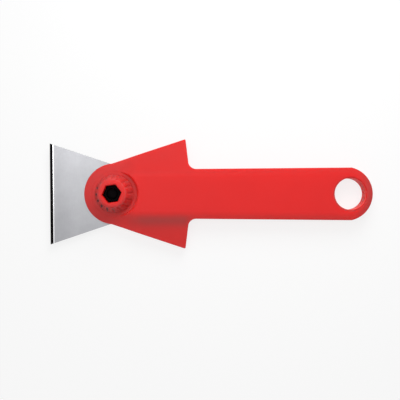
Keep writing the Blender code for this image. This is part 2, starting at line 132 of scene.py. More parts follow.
def grip_half_width(x):
    """The grip widens at a steady rate from the barbs to the tail."""
    share = (x - barb_tip[0]) / (tail_x - barb_tip[0])
    return grip_half_width_neck + share * (grip_half_width_tail - grip_half_width_neck)


def middle_run(start, stop, screw_radius, row_radius):
    """Points along the middle line between two places, with half a circle round each screw.

    Near a screw the points are spaced as the cosine of an even angle, so they lie evenly on its circle.
    """
    turn = np.linspace(0, math.pi, screw_steps)
    runs = []
    for x in screw_x:
        runs.append(straight((start, 0), (x - row_radius, 0), 26)[:-1])
        runs.append(np.column_stack((x - row_radius * np.cos(turn), screw_radius * np.sin(turn)))[:-1])
        start = x + row_radius
    runs.append(straight((start, 0), (stop, 0), 12))
    return np.concatenate(runs)[1:-1]


def half_edge():
    """The handle's edge on the +Y side as one run of points, with outward normals.

    It follows the head's arc, the wing, the rounded barb, its leaning rear edge, the neck's fillet, the
    grip's side and the tail's arc. Also gives the angle that each point has about the pivot, up to the
    neck, and about the hang hole, past the grip.
    """
    a = 1 + wing_slope**2
    b = wing_half_width_at_pivot * wing_slope
    c = wing_half_width_at_pivot**2 - head_radius**2
    corner_x = (-b + math.sqrt(b**2 - a * c)) / a
    head_end = np.array((corner_x, wing_half_width_at_pivot + wing_slope * corner_x))
    root_y = grip_half_width(barb_tip[0])
    root = np.array((barb_tip[0] + barb_lean * (barb_tip[1] - root_y), root_y))
    tail = np.array((tail_x, grip_half_width(tail_x)))
    tail_lean = math.acos(tail[1] / end_radius)
    tail_corner = tail + (end_radius * math.sin(tail_lean), 0)

    head = arc((0, 0), head_radius, np.linspace(math.pi, math.atan2(head_end[1], head_end[0]), 80))
    tip = rounded_corner(head_end, barb_tip, root, barb_tip_radius, 10)
    neck = rounded_corner(barb_tip, root, tail_corner, neck_fillet, 24)
    wing = straight(head_end, tip[0], 80, 1.3)
    rear = straight(tip[-1], neck[0], 18)
    to_neck = np.concatenate((head, wing[1:], tip[1:], rear[1:], neck[1:]))

    hole_from = tail_x - end_radius
    middle = middle_run(head_radius, hang_hole_x, 0, screw_well_radius)
    share = (middle[:, 0] - head_radius) / (hang_hole_x - head_radius)
    grip_x = neck[-1][0] + share * (hole_from - neck[-1][0])
    beside_x = np.linspace(hole_from, tail_corner[0], 26)
    beside = np.column_stack((beside_x, grip_half_width(beside_x)))
    end = arc((tail_x, 0), end_radius, np.linspace(math.pi / 2 - tail_lean, 0, 72))
    edge = np.concatenate((to_neck, np.column_stack((grip_x, grip_half_width(grip_x))), beside, end[1:]))

    along = np.gradient(edge, axis=0)
    normal = np.column_stack((-along[:, 1], along[:, 0])) / np.linalg.norm(along, axis=1)[:, None]
    normal[0] = (-1, 0)
    normal[-1] = (1, 0)

    angle = np.arctan2(to_neck[:, 1], to_neck[:, 0])
    tip_angle = math.atan2(barb_tip[1], barb_tip[0])
    past_tip = tip_angle * (angle - angle[-1]) / (tip_angle - angle[-1])
    pivot_angle = np.where(angle < tip_angle, past_tip, angle)
    end_from = 1.5
    hole_angle = np.concatenate((
        np.linspace(math.pi, end_from, len(beside)), np.linspace(end_from, 0, len(end))[1:]
    ))
    return edge, normal, pivot_angle, hole_angle


def spine_depth(x, y, round_end):
    """How far the outer face lies below the flat of the spine, at points in plan.

    The reach of a point is its distance from the middle line, or from the centre of a round end. The face
    is flat, then a convex shoulder up to the spine's reach, then a hollow that starts with the same slope
    and eases out into the wing's steady fall. Towards the pivot the section changes to the round end's.
    """
    reach = np.where(x < 0, np.hypot(x, y), np.where(x > tail_x, np.hypot(x - tail_x, y), np.abs(y)))
    past_tail = grip_half_width(tail_x) * np.maximum(reach, 1e-9) / np.maximum(np.abs(y), 1e-9)
    on_grip = grip_half_width(np.maximum(x, barb_tip[0]))
    spine = np.where(x > tail_x, np.minimum(past_tail, end_radius), on_grip)
    share = np.clip(x / spine_fade, 0, 1)
    share = share * share * (3 - 2 * share)
    spine = round_end["spine"] + share * (spine - round_end["spine"])
    shoulder = round_end["shoulder"] + share * (shoulder_run - round_end["shoulder"])
    hollow = round_end["hollow"] + share * (hollow_run - round_end["hollow"])
    steepest = round_end["angle"] + share * (shoulder_angle - round_end["angle"])
    shoulder_radius = shoulder / np.sin(steepest)
    hollow_radius = hollow / (np.sin(steepest) - math.sin(wing_angle))
    on_shoulder = np.clip(reach - spine + shoulder, 0, shoulder)
    slope = np.sin(steepest) - np.clip(reach - spine, 0, hollow) / hollow_radius
    return (
        shoulder_radius - np.sqrt(shoulder_radius**2 - on_shoulder**2)
        + hollow_radius * (np.sqrt(1 - slope**2) - np.cos(steepest))
        + np.maximum(reach - spine - hollow, 0) * math.tan(wing_angle)
    )


def on_grid(points, height, wear=0.0):
    """Plan points, heights, and wear with painted light and shade, as one grid of rows x columns x 4."""
    height = np.broadcast_to(height, points.shape[:2])
    wear = np.broadcast_to(wear, points.shape[:2])
    return np.dstack((points, height, wear))


def between(inner, outer, shares):
    """Straight rows from an inner run of points to an outer one, at the given shares of the way."""
    return inner[:, None] + np.asarray(shares)[..., None] * (outer - inner)[:, None]


def soft_least(first, second, width):
    """The lesser of two heights, rounded off by a parabola where they differ by less than width."""
    return np.minimum(first, second) - np.maximum(width - np.abs(first - second), 0) ** 2 / (4 * width)


def shell_half(depth, relief, round_end, well, screw):
    """Grids of the +Y half of a shell, whose rows run from the pivot, middle line or hang hole to the edge.

    The outer face is the height of the spine over the plan. A quarter circle rounds its edge, a wall drops
    to the parting plane, and the inner face steps up into the blade's slot inside the slot's circle. The
    well about the pivot, the hang hole and the screw holes are walls between the two faces.
    """
    edge, normal, pivot_angle, hole_angle = half_edge()

    def height(points):
        return depth - relief * spine_depth(points[..., 0], points[..., 1], round_end)

    def inner_run(pivot_radius, hole_radius, screw_radius, row_radius):
        return np.concatenate((
            arc((0, 0), pivot_radius, pivot_angle),
            middle_run(pivot_radius, hang_hole_x - hole_radius, screw_radius, row_radius),
            arc((hang_hole_x, 0), hole_radius, hole_angle),
        ))

    rim = edge - edge_round * normal
    well_edge = well["top_radius"] + well["margin"]
    face_from = inner_run(well_edge, hang_hole_radius + hang_hole_edge, screw["outer"], screw_well_radius)
    face = between(face_from, rim, np.linspace(0, 1, 80)[None])
    rubbed = np.clip(1 - np.linalg.norm(face - rim[:, None], axis=-1) / wear_reach, 0, 1)
    grids = [on_grid(face, height(face), rubbed)]

    turn = np.linspace(0, math.pi / 2, round_steps)
    low = np.where(np.linalg.norm(edge, axis=1) > slot_radius, parting_height, slot_height)
    inset = np.concatenate((edge_round * (1 - np.sin(turn)), np.zeros(3), [parting_chamfer]))
    rim_height = height(rim)[:, None] - edge_round * (1 - np.cos(turn))
    foot = (low + parting_chamfer)[:, None]
    wall_height = rim_height[:, -1:] + (foot - rim_height[:, -1:]) * np.array((0.33, 0.67, 1))
    wall = edge[:, None] - inset[None, :, None] * normal[:, None]
    wall_wear = np.concatenate((np.ones(round_steps), wall_wear_down))
    grids.append(on_grid(wall, np.column_stack((rim_height, wall_height, low)), wall_wear))

    under_from = inner_run(bush_seat_radius, hang_hole_radius, screw_hole_radius, screw_hole_radius)
    under_to = edge - parting_chamfer * normal
    run = under_to - under_from
    a = np.sum(run**2, axis=1)
    b = np.sum(run * under_from, axis=1)
    c = np.sum(under_from**2, axis=1) - slot_radius**2
    crossing = np.clip((-b + np.sqrt(np.maximum(b**2 - a * c, 0))) / a, 0, 1)
    crossing = np.where(c > 0, 0, np.where(low < slot_height, crossing, 1))
    shares = np.column_stack((np.zeros_like(a), crossing, crossing, np.ones_like(a)))
    inside = np.where(c > 0, parting_height, slot_height)
    grids.append(on_grid(between(under_from, under_to, shares), np.column_stack((inside, inside, low, low))))

    direction = arc((0, 0), 1, pivot_angle)
    bore = well["bore"](pivot_angle)
    on_floor = bore[:, None] + (well["floor_radius"] - bore)[:, None] * np.linspace(0, 1, 16)
    on_wall = np.linspace(well["floor_radius"], well_edge, 32)[1:]
    radii = np.column_stack((on_floor, np.broadcast_to(on_wall, (len(bore), len(on_wall)))))
    steepness = (depth - well["floor"]) / (well["top_radius"] - well["floor_radius"])
    cone = well["floor"] + np.maximum(radii - well["floor_radius"], 0) * steepness
    points = radii[..., None] * direction[:, None]
    # Painted shade: the well darkens with its depth below the outer face. Where painted wall light is given,
    # the wall above the floor is painted paler instead, as light on a wall that lies in shade.
    buried = np.clip((height(points) - cone) / (depth - well["floor"]), 0, 1)
    off_floor = np.clip((radii - well["floor_radius"]) / wall_light_fade, 0, 1)
    chafed = well["chafed"] * off_floor * np.clip(wall_light_onset * buried, 0, 1)
    painted_shading = np.where(chafed > 0, chafed, -well["dirt"] * buried)
    grids.append(on_grid(points, soft_least(height(points), cone, well["round"]), painted_shading))
    seat = np.full_like(bore, bush_seat_radius)
    radii = np.column_stack((bore, bore, seat, seat))
    heights = np.array((well["floor"], bush_seat_height, bush_seat_height, slot_height))
    grids.append(on_grid(radii[..., None] * direction[:, None], heights))

    direction = arc((0, 0), 1, hole_angle)
    hole = np.concatenate((hang_hole_radius + hang_hole_edge * (1 - np.sin(turn)), [hang_hole_radius] * 2))
    hole_points = np.array((hang_hole_x, 0)) + hole[None, :, None] * direction[:, None]
    hole_height = height(hole_points)
    hole_height[:, :round_steps] -= hang_hole_edge * (1 - np.cos(turn))
    hole_height[:, round_steps] = hole_height[:, round_steps - 1] / 2
    hole_height[:, -1] = parting_height
    # Painted shade on the flatter part of the hang hole's rounded edge, and painted light on its steep part
    # and the wall below, paler towards the parting plane.
    grids.append(on_grid(hole_points, hole_height, hang_hole_shading))

    for x in screw_x:
        direction = arc((0, 0), 1, np.linspace(math.pi, 0, screw_steps))
        points = np.array((x, 0)) + np.array(screw["radii"])[None, :, None] * direction[:, None]
        grids.append(on_grid(points, np.array(screw["heights"])))
    return grids


def grid_faces(rows, columns):
    """The four corners of every cell of a grid, by vertex number."""
    index = np.arange(rows * columns).reshape(rows, columns)
    return np.stack((index[:-1, :-1], index[1:, :-1], index[1:, 1:], index[:-1, 1:]), axis=-1).reshape(-1, 4)


def welded_piece(name, grids, sharp=math.radians(40)):
    """One object made of grids of rows x columns x (x, y, z, wear and painted light), welded where they meet.
    """
    points = np.concatenate([grid.reshape(-1, 4) for grid in grids])
    faces = []
    first = 0
    for grid in grids:
        faces.append(first + grid_faces(*grid.shape[:2]))
        first += grid.shape[0] * grid.shape[1]
    mesh = bpy.data.meshes.new(name)
    mesh.from_pydata(points[:, :3].tolist(), [], np.concatenate(faces).tolist())
    mesh.attributes.new("wear", "FLOAT", "POINT").data.foreach_set("value", points[:, 3].astype(np.float32))
    bm = bmesh.new()
    bm.from_mesh(mesh)
    bmesh.ops.remove_doubles(bm, verts=bm.verts, dist=2e-6)
    bmesh.ops.dissolve_degenerate(bm, edges=bm.edges, dist=1e-7)
    bmesh.ops.recalc_face_normals(bm, faces=bm.faces)
    bm.to_mesh(mesh)
    bm.free()
    mesh.shade_smooth()
    mesh.set_sharp_from_angle(angle=sharp)
    made = bpy.data.objects.new(name, mesh)
    bpy.context.scene.collection.objects.link(made)
    return made


def shell_piece(name, side, half, other_half):
    """Both halves of a shell, the second mirrored across the middle line, stood at the pivot."""
    whole = []
    for flip, grids in ((1, half), (-1, other_half)):
        for grid in grids:
            placed = grid * (1, flip, side, 1)
            placed[..., 0] += pivot_x
            placed[..., 2] += parting_z
            whole.append(placed)
    return welded_piece(name, whole)


def add_node(tree, kind, inputs=None, **settings):
    """A node with its options set, and its inputs filled with values or with other nodes' outputs."""
    made = tree.nodes.new(kind)
    for key, value in settings.items():
        setattr(made, key, value)
    for key, value in (inputs or {}).items():
        if isinstance(value, bpy.types.NodeSocket):
            tree.links.new(value, made.inputs[key])
        else:
            made.inputs[key].default_value = value
    return made


def new_material(name):
    """An empty Principled material: its tree, its shader and the object's own coordinates."""
    material = bpy.data.materials.new(name)
    material.use_nodes = True
    tree = material.node_tree
    shader = tree.nodes["Principled BSDF"]
    place = add_node(tree, "ShaderNodeTexCoord").outputs["Object"]
    return material, tree, shader, place


def spread(tree, value, low, high, source_low=0.0, source_high=1.0):
    """Maps a value from one range to another, held at both ends."""
    return add_node(tree, "ShaderNodeMapRange", {
        "Value": value, "From Min": source_low, "From Max": source_high, "To Min": low, "To Max": high,
    }).outputs["Result"]


def mixed(tree, factor, first, second, blend="MIX"):
    """Two colours mixed by a factor."""
    return add_node(tree, "ShaderNodeMix", {"Factor": factor, "A": first, "B": second},
                    data_type="RGBA", blend_type=blend).outputs["Result"]


def red_plastic(name, shade_and_sheen_colour=(0.11, 0.060, 0.057, 1)):
    """Moulded red plastic that light seeps a little way into, with spark-eroded grain and faint flow marks.

    The wear value is 1 on a rubbed edge and 0 to -0.5 on a plain face. From 1 to 2 it is painted light: a
    paler, matt red for walls that lie in shade. Below -0.5 it is painted shade in the given colour, which
    also paints a pale sheen and covers the red at -1, and below that a painted shadow that blackens it down
    to -1.5.
    """
    deep_red = (0.765, 0.0055, 0.0045, 1)
    light_red = (0.815, 0.0075, 0.0060, 1)
    rubbed_red = (0.90, 0.13, 0.11, 1)
    # A paler red for painted light on walls in shade, and black for a painted shadow.
    painted_light_red = (1.0, 0.085, 0.075, 1)
    painted_shadow_black = (0.012, 0.010, 0.010, 1)
    shade_cover = 0.95
    rubbed_share = 0.16
    rubbed_smoother = -0.08
    specular = 0.52

    material, tree, shader, place = new_material(name)
    grain = add_node(tree, "ShaderNodeTexNoise", {"Vector": place, "Scale": 3200, "Detail": 3})
    flow = add_node(tree, "ShaderNodeTexNoise", {"Vector": place, "Scale": 70, "Detail": 4})
    patch = add_node(tree, "ShaderNodeTexNoise",
                     {"Vector": place, "Scale": 420, "Detail": 5, "Roughness": 0.7})
    wear = add_node(tree, "ShaderNodeAttribute", attribute_name="wear").outputs["Fac"]
    rubbed = spread(tree, patch.outputs["Fac"], 0, 1, 0.42, 0.62)
    rubbed = add_node(tree, "ShaderNodeMath", {0: rubbed, 1: spread(tree, wear, 0, 1)}, operation="MULTIPLY")
    rubbed = rubbed.outputs["Value"]
    body = mixed(tree, flow.outputs["Fac"], deep_red, light_red)
    # Below a wear of -0.5 the colour goes to the shade colour as painted shade, below -1 on to black as a
    # painted shadow, and from 1 to 2 to a paler red as painted light on walls in shade.
    body = mixed(tree, spread(tree, wear, shade_cover, 0, -1, -0.5), body, shade_and_sheen_colour)
    body = mixed(tree, spread(tree, wear, 1, 0, -1.5, -1), body, painted_shadow_black)
    body = mixed(tree, spread(tree, wear, 0, 1, 1, 2), body, painted_light_red)
    shader.inputs["Specular IOR Level"].default_value = specular
    tree.links.new(spread(tree, wear, specular, 0.0, 1, 2), shader.inputs["Specular IOR Level"])
    shader.inputs["Subsurface Weight"].default_value = 0.8
    shader.inputs["Subsurface Radius"].default_value = (1.0, 0.12, 0.10)
    shader.inputs["Subsurface Scale"].default_value = 0.004
    pale = add_node(tree, "ShaderNodeMath", {0: rubbed, 1: rubbed_share}, operation="MULTIPLY")
    tree.links.new(mixed(tree, pale.outputs["Value"], body, rubbed_red), shader.inputs["Base Color"])
    grainy = spread(tree, grain.outputs["Fac"], 0.44, 0.56, 0.3, 0.7)
    smooth = add_node(tree, "ShaderNodeMath", {0: rubbed, 1: rubbed_smoother, 2: grainy},
                      operation="MULTIPLY_ADD")
    tree.links.new(smooth.outputs["Value"], shader.inputs["Roughness"])
    bump = add_node(tree, "ShaderNodeBump",
                    {"Height": grain.outputs["Fac"], "Strength": 0.35, "Distance": 0.00003})
    tree.links.new(bump.outputs["Normal"], shader.inputs["Normal"])
    return material


bolt_recess_depth = 0.0015
neck_hole_half = 0.0028
screw_well_depth = 0.0021
back_half = shell_half(
    depth=parting_z,
    relief=0.4,
    round_end={"spine": 0.0129, "shoulder": 0.0012, "angle": math.radians(30), "hollow": 0.0024},
    well={
        "floor_radius": 0.0063,
        "top_radius": 0.0064,
        "margin": 0.0003,
        "round": 0.0004,
        # Painted shade in the bolt's recess, with no painted light on its wall.
        "dirt": 0.5,
        "chafed": 0.0,
        "floor": parting_z - bolt_recess_depth,
        "bore": lambda angle: neck_hole_half / np.maximum(np.abs(np.cos(angle)), np.abs(np.sin(angle))),
    },
    screw={
        "outer": screw_well_radius,
        "radii": (screw_well_radius, screw_well_radius, screw_hole_radius, screw_hole_radius),
        "heights": (parting_z, parting_z - screw_well_depth, parting_z - screw_well_depth, parting_height),
    },
)
back_shell = shell_piece("back_shell_moulding", -1, back_half, back_half)
back_shell.data.materials.append(red_plastic("back_shell_plastic"))
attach(back_shell, "handle")
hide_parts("back_shell")


# Clamp bolt: the flat-headed bolt that everything at the pivot is stacked on. Steel with a black oxide
# finish. Its square neck sits in the back shell, and its rolled thread runs up into the knob's nut.

bolt_low, bolt_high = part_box("clamp_bolt")
bolt_radius = 0.0025
bolt_head_radius = (bolt_high.x - bolt_low.x) / 2
bolt_head_height = 0.0009
bolt_neck_height = 0.0011
bolt_neck_half = 0.0025
bolt_neck_corner = 1.34
bolt_head_edge = 0.0003
thread_pitch = 0.0008
thread_depth = 0.0003
thread_from_z = 0.0086


def turned_piece(name, radius, z, angles, centre, wear=0.0):
    """A solid of rings round a vertical axis, its radius given at angles x steps and z for each step."""
    z = np.broadcast_to(z, radius.shape)
    grid = np.dstack((
        centre[0] + radius * np.cos(angles)[:, None],
        centre[1] + radius * np.sin(angles)[:, None],
        z,
        np.broadcast_to(wear, radius.shape),
    ))
    return welded_piece(name, [grid])


def thread_radius(z, angles, crest, depth, pitch):
    """A rolled thread: a rounded triangle wave of the height, moved on by one pitch in each turn."""
    phase = (z[None] / pitch - angles[:, None] / math.tau) % 1
    return crest - depth * (1 - np.abs(2 * phase - 1)) ** 0.8


def dark_oxide(name):
    """Black oxide on steel: almost black, satin, with a faint mottle and oil-dulled patches."""
    material, tree, shader, place = new_material(name)
    mottle = add_node(tree, "ShaderNodeTexNoise", {"Vector": place, "Scale": 900, "Detail": 4})
    fine = add_node(tree, "ShaderNodeTexNoise", {"Vector": place, "Scale": 5200, "Detail": 2})
    tone = mixed(tree, mottle.outputs["Fac"], (0.0012, 0.0009, 0.0012, 1), (0.0030, 0.0025, 0.0030, 1))
    tree.links.new(tone, shader.inputs["Base Color"])
    shader.inputs["Specular IOR Level"].default_value = 0.04
    tree.links.new(spread(tree, mottle.outputs["Fac"], 0.55, 0.75, 0.3, 0.7), shader.inputs["Roughness"])
    bump = add_node(tree, "ShaderNodeBump",
                    {"Height": fine.outputs["Fac"], "Strength": 0.25, "Distance": 0.00002})
    tree.links.new(bump.outputs["Normal"], shader.inputs["Normal"])
    return material


full_turn = np.linspace(0, math.tau, 145)
head_turn = np.linspace(0, math.pi / 2, 5)
head_round = bolt_head_edge * (1 - np.sin(head_turn))
neck_base_z = bolt_low.z + bolt_head_height
neck_top_z = neck_base_z + bolt_neck_height
square = bolt_neck_half / np.maximum(np.abs(np.cos(full_turn)), np.abs(np.sin(full_turn)))
square = np.minimum(square, bolt_neck_half * bolt_neck_corner)
thread_z = np.linspace(thread_from_z, bolt_high.z - thread_depth, 90)
thread = thread_radius(thread_z, full_turn, bolt_radius, thread_depth, thread_pitch)
runout = np.clip((thread_z - thread_from_z) / thread_pitch, 0, 1)
thread = bolt_radius + runout * (thread - bolt_radius)
ring = np.ones((len(full_turn), 1))
bolt_piece_radius = np.column_stack((
    ring * np.concatenate(((0, bolt_head_radius / 2), bolt_head_radius - head_round)),
    ring * bolt_head_radius,
    square,
    square,
    ring * bolt_radius,
    thread,
    ring * (bolt_radius - 2 * thread_depth),
    ring * 0,
))
bolt_piece_z = np.concatenate((
    (bolt_low.z, bolt_low.z),
    bolt_low.z + bolt_head_edge * (1 - np.cos(head_turn)),
    (neck_base_z, neck_base_z, neck_top_z, neck_top_z),
    thread_z,
    (bolt_high.z, bolt_high.z),
))
clamp_bolt = turned_piece("bolt_with_thread", bolt_piece_radius, bolt_piece_z, full_turn, (pivot_x, 0))
clamp_bolt.data.materials.append(dark_oxide("bolt_black_oxide"))
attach(clamp_bolt, "handle")
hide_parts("clamp_bolt")


# Pivot bush: the plain steel sleeve that the blade's hole turns on. Cut from tube and zinc-plated, it
# drops over the bolt and stands in both shells. Its solid from the frame is kept.


def zinc_plate(name):
    """Bright zinc on turned steel: pale grey, with fine rings of tool marks round the part's axis."""
    material, tree, shader, place = new_material(name)
    cloud = add_node(tree, "ShaderNodeTexNoise", {"Vector": place, "Scale": 800, "Detail": 4})
    fine = add_node(tree, "ShaderNodeTexNoise", {"Vector": place, "Scale": 6000, "Detail": 2})
    tone = mixed(tree, cloud.outputs["Fac"], (0.50, 0.50, 0.49, 1), (0.64, 0.64, 0.62, 1))
    tree.links.new(tone, shader.inputs["Base Color"])
    shader.inputs["Metallic"].default_value = 1.0
    tree.links.new(spread(tree, cloud.outputs["Fac"], 0.26, 0.42, 0.3, 0.7), shader.inputs["Roughness"])
    bump = add_node(tree, "ShaderNodeBump",
                    {"Height": fine.outputs["Fac"], "Strength": 0.2, "Distance": 0.00001})
    tree.links.new(bump.outputs["Normal"], shader.inputs["Normal"])
    return material


pivot_bush = frame["nodes"]["pivot_bush"]
pivot_bush.data.materials.clear()
pivot_bush.data.materials.append(zinc_plate("bush_zinc"))


# Blade: a trapezoid of spring steel, stamped, brushed across its faces and ground to a bevel on the front
# along the cutting edge, a little out of square. The bevel is burnished dark, with a bright lapped line
# behind it.

grind_width = 0.00165
edge_land = 0.0001
side_slope = 0.338
lapped_width = 0.0004
edge_lean = 0.009
edge_past_solid = 0.0002
side_angle = math.atan(side_slope)
tang_radius = (blade_high.y - blade_reach * side_slope) * math.cos(side_angle)
edge_reach = blade_reach + edge_past_solid
grind_x = grind_width - edge_reach


def blade_half():
    """Grids of the blade's +Y half: rows from the bush hole to the outline, on the top, wall and underside.

    The top falls from the grind line to the edge in proportion to the distance past that line.
    """
    corner = np.array((-edge_reach, blade_high.y))
    grind_end = corner + (grind_width, -grind_width * side_slope)
    tangent = tang_radius * np.array((math.sin(side_angle), math.cos(side_angle)))
    outline = np.concatenate((
        straight((-edge_reach, 0), corner, 70),
        straight(corner, grind_end, 6)[1:],
        straight(grind_end, tangent, 70)[1:],
        arc((0, 0), tang_radius, np.linspace(math.pi / 2 - side_angle, 0, 50))[1:],
    ))
    hole = arc((0, 0), bush_seat_radius, np.arctan2(outline[:, 1], outline[:, 0]))
    at_grind = np.clip((grind_x - hole[:, 0]) / np.minimum(outline[:, 0] - hole[:, 0], -1e-9), 0, 1)
    at_grind = np.where(outline[:, 0] < grind_x, at_grind, 1)
    shares = np.column_stack((
        at_grind[:, None] * np.linspace(0, 1, 30),
        at_grind[:, None] + (1 - at_grind)[:, None] * np.linspace(0, 1, 7)[1:],
    ))

    def top(points):
        past = np.maximum(grind_x - points[..., 0], 0)
        return blade_high.z - past * (blade_high.z - blade_low.z - edge_land) / grind_width

    face = between(hole, outline, shares)
    wall = np.stack((outline, outline), axis=1)
    base = np.full(len(outline), blade_low.z)
    under = between(outline, hole, np.linspace(0, 1, 3)[None])
    bore = np.stack((hole, hole), axis=1)
    return [
        on_grid(face, top(face)),
        on_grid(wall, np.column_stack((top(outline), base))),
        on_grid(under, blade_low.z),
        on_grid(bore, np.array((blade_low.z, blade_high.z))),
    ]


def brushed_blade_steel(name):
    """Brushed spring steel: long scratches across the blade, a lapped bright line and a dark ground bevel."""
    dark_grey = (0.276, 0.277, 0.291, 1)
    light_grey = (0.354, 0.355, 0.371, 1)
    lapped_grey = (0.92, 0.92, 0.93, 1)
    ground_black = (0.0012, 0.0010, 0.0012, 1)
    lighter_behind = 1.12
    lighter_from_x = -0.0746
    lighter_to_x = -0.066
    lapped_smoother = -0.14
    blur = 0.00006

    material, tree, shader, place = new_material(name)
    stretched = add_node(tree, "ShaderNodeMapping", {"Vector": place, "Scale": (9000, 220, 9000)})
    scratch = add_node(tree, "ShaderNodeTexNoise",
                       {"Vector": stretched.outputs["Vector"], "Scale": 1, "Detail": 4})
    cloud = add_node(tree, "ShaderNodeTexNoise",
                     {"Vector": place, "Scale": 150, "Detail": 5, "Roughness": 0.7})
    along = add_node(tree, "ShaderNodeSeparateXYZ", {"Vector": place}).outputs
    x = add_node(tree, "ShaderNodeMath", {0: along["Y"], 1: edge_lean, 2: along["X"]},
                 operation="MULTIPLY_ADD").outputs["Value"]
    grind_at = pivot_x + grind_x
    ground = spread(tree, x, 1, 0, grind_at - blur, grind_at + blur)
    lapped_end = grind_at + lapped_width
    lapped = spread(tree, x, 1, 0, lapped_end - 3 * blur, lapped_end + 3 * blur)
    plain = mixed(tree, cloud.outputs["Fac"], dark_grey, light_grey)
    lighter = spread(tree, x, 1, lighter_behind, lighter_from_x, lighter_to_x)
    plain = mixed(tree, 1.0, plain, lighter, "MULTIPLY")
    streak = spread(tree, scratch.outputs["Fac"], 0.97, 1.03, 0.3, 0.7)
    plain = mixed(tree, 1.0, plain, streak, "MULTIPLY")
    bright = mixed(tree, lapped, plain, lapped_grey)
    tree.links.new(mixed(tree, ground, bright, ground_black), shader.inputs["Base Color"])
    tree.links.new(spread(tree, ground, 1.0, 0.0), shader.inputs["Metallic"])
    tree.links.new(spread(tree, ground, 0.5, 0.04), shader.inputs["Specular IOR Level"])
    rough = spread(tree, scratch.outputs["Fac"], 0.29, 0.35, 0.3, 0.7)
    finer = add_node(tree, "ShaderNodeMath", {0: lapped, 1: lapped_smoother, 2: rough},
                     operation="MULTIPLY_ADD")
    tree.links.new(finer.outputs["Value"], shader.inputs["Roughness"])
    bump = add_node(tree, "ShaderNodeBump",
                    {"Height": scratch.outputs["Fac"], "Strength": 0.15, "Distance": 0.00001})
    tree.links.new(bump.outputs["Normal"], shader.inputs["Normal"])
    return material


blade_grids = []
for grid in blade_half():
    for flip in (1, -1):
        placed = grid * (1, flip, 1, 1)
        placed[..., 0] -= edge_lean * placed[..., 1] * np.clip(placed[..., 0] / grind_x, 0, 1)
        placed[..., 0] += pivot_x
        blade_grids.append(placed)
blade = welded_piece("ground_blade", blade_grids, sharp=math.radians(12))
blade.data.materials.append(brushed_blade_steel("blade_brushed_steel"))
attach(blade, "swing_blade")
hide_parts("blade")


# Front shell: the moulded half that faces the user, of the same red plastic, held by the two grip screws.
# Its raised spine runs from the tail to a round pocket at the pivot, where the knob stands, and thin wings
# spread from it to the barbs. Its slopes, the foot of its spine on the lower side, its pocket and both ends
# carry painted shade.

knob_low, knob_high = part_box("clamp_knob")
knob_seat_z = knob_low.z - clearance
bolt_bore_radius = 0.0028
screw_hole_end = 0.0079 - parting_z
front_half = shell_half(
    depth=handle_top - parting_z,
    relief=1.0,
    round_end={"spine": 0.0070, "shoulder": 0.0027, "angle": math.radians(34), "hollow": 0.0040},
    well={
        "floor_radius": 0.0110,
        "top_radius": 0.0120,
        "margin": 0.0003,
        "round": 0.00025,
        # Painted shade in the knob's pocket, and painted light on its wall, which lies in shade.
        "dirt": 0.62,
        "chafed": 1.6,
        "floor": knob_seat_z - parting_z,
        "bore": lambda angle: np.full_like(angle, bolt_bore_radius),
    },
    screw={
        "outer": 0.0,
        "radii": (screw_hole_radius, screw_hole_radius, 0.0),
        "heights": (parting_height, screw_hole_end, screw_hole_end),
    },
)

# Painted shade: how far below the flat the slopes are fully shaded, and the extra painted shade at the round
# head, the tail and in a band along the foot of the spine.
slope_fall = 0.0003
head_shade = 0.06
tail_shade = 0.26
tail_shade_x = (hang_hole_x + 0.003, tail_x + 0.0115)
band_past_spine = 0.0008
band_width_up = 0.0024
band_width_down = 0.0030
band_x = (0.006, 0.014, 0.034, 0.040)


def with_painted_shade(grid, slope_shade, foot_shade):
    """An outer grid with painted shade on its slopes, and more of it round both ends.

    The painted shade on the slopes grows with the depth below the flat. A band of it lies along the foot of
    the spine, thickest just past the grip's line, as a bell curve across. Only places with painted light,
    where the wear is over 1, stay as they are.
    """
    x, y, height, wear = (grid[..., axis] for axis in range(4))
    fallen = np.clip((handle_top - parting_z - height) / slope_fall, 0, 1)
    round_head = np.clip(1 - x / spine_fade, 0, 1)
    painted_shading = (slope_shade + head_shade * round_head) * fallen + tail_shade * np.interp(x, tail_shade_x, (0, 1))
    past_spine = y - grip_half_width(np.maximum(x, barb_tip[0])) - band_past_spine
    band = np.exp(-(past_spine / np.where(past_spine < 0, band_width_up, band_width_down)) ** 2)
    painted_shading = painted_shading + foot_shade * band * np.interp(x, band_x, (0, 1, 1, 0))
    unshaded, fully_shaded = -0.5, -1.0
    painted_shading = unshaded + (fully_shaded - unshaded) * painted_shading
    made = grid.copy()
    made[..., 3] = np.where(wear > 1, wear, np.minimum(wear, painted_shading))
    return made


face, edge_wall, under, knob_pocket, bolt_bore, hang_hole, *screw_holes = front_half
# Amounts of painted shade: on the slopes, in a band along the foot of the spine on the lower side, and a
# little less of it in the lower half of the knob's pocket.
slope_shade_amount = 0.11
foot_shade_amount = 0.33
lower_pocket_shade_amount = 0.08
rim_columns = 4
upper_rim_lightening = 0.15
# The painted shade on the hang hole's rim is made lighter towards the hole's +Y side.
upper_hole = hang_hole.copy()
upper_hole[:, :rim_columns, 3] += upper_rim_lightening * hang_hole[:, :rim_columns, 1] / hang_hole_radius
upper_half = [
    with_painted_shade(face, slope_shade_amount, 0), with_painted_shade(edge_wall, slope_shade_amount, 0), under,
    with_painted_shade(knob_pocket, slope_shade_amount, 0), bolt_bore, upper_hole, *screw_holes,
]
lower_half = [
    with_painted_shade(face, slope_shade_amount, foot_shade_amount), with_painted_shade(edge_wall, slope_shade_amount, 0), under,
    with_painted_shade(knob_pocket, lower_pocket_shade_amount, 0), bolt_bore, hang_hole, *screw_holes,
]
front_shell = shell_piece("front_shell_moulding", 1, upper_half, lower_half)
front_shell.data.materials.append(red_plastic("front_shell_plastic"))
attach(front_shell, "handle")
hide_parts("front_shell")


# Grip screws: two pan-head tapping screws that pull the halves together, driven from the back.
# Zinc-plated steel, with a pressed cross recess and a coarse thread.

